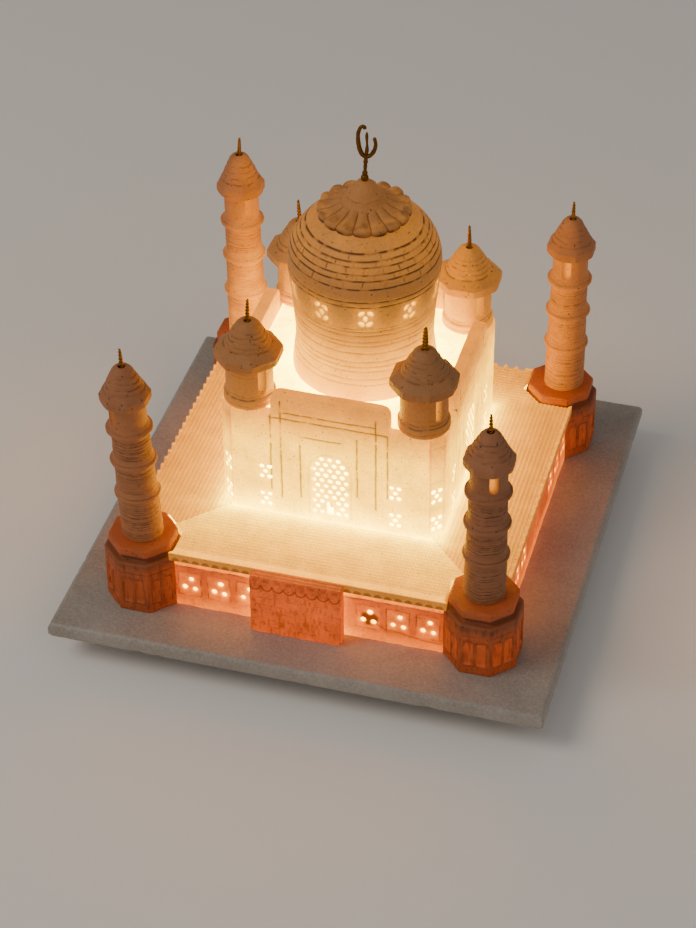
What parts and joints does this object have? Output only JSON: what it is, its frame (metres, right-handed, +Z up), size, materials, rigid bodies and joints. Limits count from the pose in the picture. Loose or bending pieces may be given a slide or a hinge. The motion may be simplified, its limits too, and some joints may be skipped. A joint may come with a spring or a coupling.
{
  "type": "miniature landmark model",
  "caption": "Lamp-lit carved stone model of a domed hall with corner pavilions and plug-in corner towers on a square marble slab.",
  "frame": {"origin": "on the standing surface, under the middle of the square slab", "axes": "+Z up, front with the gate block facing -Y, +X to the right seen from the front"},
  "size_m": [0.2, 0.2, 0.2026],
  "materials": {
    "slab_marble": "honed, worn arrises",
    "hall_alabaster": "scraped matt, lit from inside",
    "terrace_alabaster": "finely fluted matt",
    "plinth_alabaster": "scraped matt",
    "turned_alabaster": "turned matt with scribed lines",
    "pin_brass": "twisted wire",
    "finial_brass": "dark aged cast",
    "foot_rubber": "moulded matt",
    "grommet_rubber": "moulded matt",
    "lamp_steel": "zinc plated",
    "holder_porcelain": "glazed",
    "shell_brass": "pressed thin sheet",
    "contact_black": "black glass insulator",
    "bulb_glass": "clear blown",
    "filament": "glowing tungsten wire on a stem"
  },
  "bodies": {
    "base": {"base_slab": "slab_marble", "feet": "foot_rubber", "gate_block": "plinth_alabaster", "plinth_wall_front": "plinth_alabaster", "plinth_wall_right": "plinth_alabaster", "plinth_wall_back": "plinth_alabaster", "plinth_wall_left": "plinth_alabaster", "terrace_front": "terrace_alabaster", "terrace_right": "terrace_alabaster", "terrace_back": "terrace_alabaster", "terrace_left": "terrace_alabaster", "corner_block_front_left": "plinth_alabaster", "corner_block_front_right": "plinth_alabaster", "corner_block_back_right": "plinth_alabaster", "corner_block_back_left": "plinth_alabaster", "lamp_plate": "lamp_steel", "plate_screws": "lamp_steel", "lamp_holder": "holder_porcelain", "cord_grommet": "grommet_rubber"},
    "hall": {"hall_wall_front": "hall_alabaster", "hall_wall_right": "hall_alabaster", "hall_wall_back": "hall_alabaster", "hall_wall_left": "hall_alabaster", "hall_corner_front_left": "hall_alabaster", "hall_corner_front_right": "hall_alabaster", "hall_corner_back_right": "hall_alabaster", "hall_corner_back_left": "hall_alabaster", "hall_roof": "hall_alabaster", "dome": "turned_alabaster", "dome_crown": "turned_alabaster", "dome_finial": "finial_brass", "pavilion_drum_front_left": "turned_alabaster", "pavilion_drum_front_right": "turned_alabaster", "pavilion_drum_back_right": "turned_alabaster", "pavilion_drum_back_left": "turned_alabaster", "pavilion_cap_front_left": "turned_alabaster", "pavilion_cap_front_right": "turned_alabaster", "pavilion_cap_back_right": "turned_alabaster", "pavilion_cap_back_left": "turned_alabaster", "pavilion_pin_front_left": "pin_brass", "pavilion_pin_front_right": "pin_brass", "pavilion_pin_back_right": "pin_brass", "pavilion_pin_back_left": "pin_brass"},
    "bulb": {"bulb_shell": "shell_brass", "bulb_contact": "contact_black", "bulb_glass": "bulb_glass", "bulb_filament": "filament"},
    "tower_front_left": {"tower_shaft_front_left": "turned_alabaster", "tower_cap_front_left": "turned_alabaster", "tower_pin_front_left": "pin_brass"},
    "tower_front_right": {"tower_shaft_front_right": "turned_alabaster", "tower_cap_front_right": "turned_alabaster", "tower_pin_front_right": "pin_brass"},
    "tower_back_right": {"tower_shaft_back_right": "turned_alabaster", "tower_cap_back_right": "turned_alabaster", "tower_pin_back_right": "pin_brass"},
    "tower_back_left": {"tower_shaft_back_left": "turned_alabaster", "tower_cap_back_left": "turned_alabaster", "tower_pin_back_left": "pin_brass"}
  },
  "joints": [
    {"name": "hall_lift", "type": "slide", "parent": "base", "child": "hall", "axis": [0, 0, 1], "range_m": [0, 0.06]},
    {"name": "bulb_turn", "type": "hinge", "parent": "base", "child": "bulb", "pos_m": [0, 0, 0.046], "axis": [0, 0, 1], "range_deg": [0, 900]},
    {"name": "tower_lift_front_left", "type": "slide", "parent": "base", "child": "tower_front_left", "axis": [0, 0, 1], "range_m": [0, 0.02]},
    {"name": "tower_lift_front_right", "type": "slide", "parent": "base", "child": "tower_front_right", "axis": [0, 0, 1], "range_m": [0, 0.02]},
    {"name": "tower_lift_back_right", "type": "slide", "parent": "base", "child": "tower_back_right", "axis": [0, 0, 1], "range_m": [0, 0.02]},
    {"name": "tower_lift_back_left", "type": "slide", "parent": "base", "child": "tower_back_left", "axis": [0, 0, 1], "range_m": [0, 0.02]}
  ]
}
